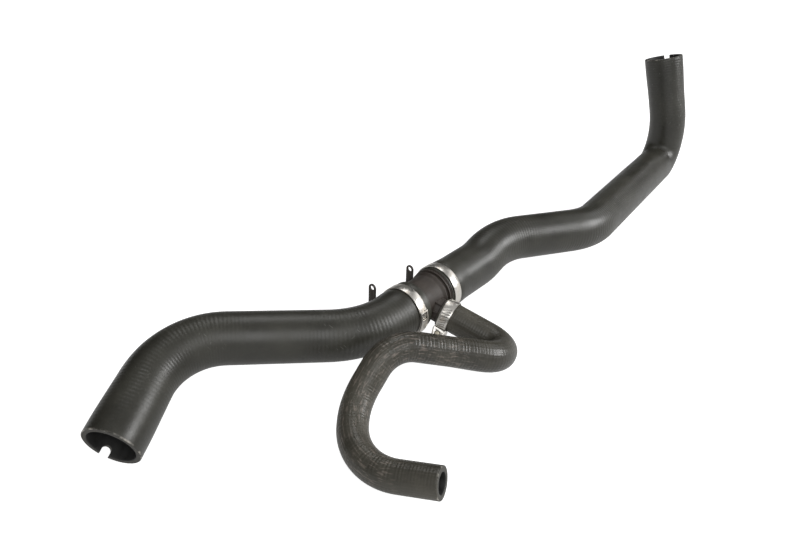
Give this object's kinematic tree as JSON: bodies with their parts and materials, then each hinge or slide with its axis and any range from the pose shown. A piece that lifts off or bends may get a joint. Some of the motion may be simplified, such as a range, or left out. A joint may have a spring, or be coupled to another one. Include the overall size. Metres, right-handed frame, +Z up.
{
  "type": "radiator coolant hose",
  "caption": "Moulded rubber radiator hose in two bent lengths joined by a plastic tee, with a thin curled branch hose, band clamps, and notched mouths.",
  "frame": {"origin": "under the middle of the assembly's bounding box, on the surface that it lies on", "axes": "+Z up; +X along the hose's length from the near mouth to the far, upturned mouth; the branch hose curls out on the -Y side"},
  "size_m": [0.7804, 0.2386, 0.1503],
  "materials": {
    "main_rubber": "matte moulded rubber with soft highlights",
    "branch_rubber": "matte cloth-marked rubber",
    "tee_plastic": "satin glass-filled nylon",
    "clamp_steel": "bright rolled stainless strip",
    "screw_steel": "zinc-plated steel"
  },
  "bodies": {
    "hose_assembly": {"front_hose": "main_rubber", "rear_hose": "main_rubber", "rear_hose_elbow": "main_rubber", "branch_hose": "branch_rubber", "branch_hose_end": "branch_rubber", "tee_connector": "tee_plastic", "front_clamp": "clamp_steel", "rear_clamp": "clamp_steel", "branch_clamp_band": "clamp_steel", "branch_clamp_housing": "clamp_steel"},
    "worm_screw": {"branch_clamp_screw": "screw_steel"}
  },
  "joints": [
    {"name": "worm_screw_turn", "type": "hinge", "parent": "hose_assembly", "child": "worm_screw", "pos_m": [-0.11318, 0.00247, 0.01599], "axis": [0.6673, 0.3511, -0.6569], "continuous": true}
  ]
}
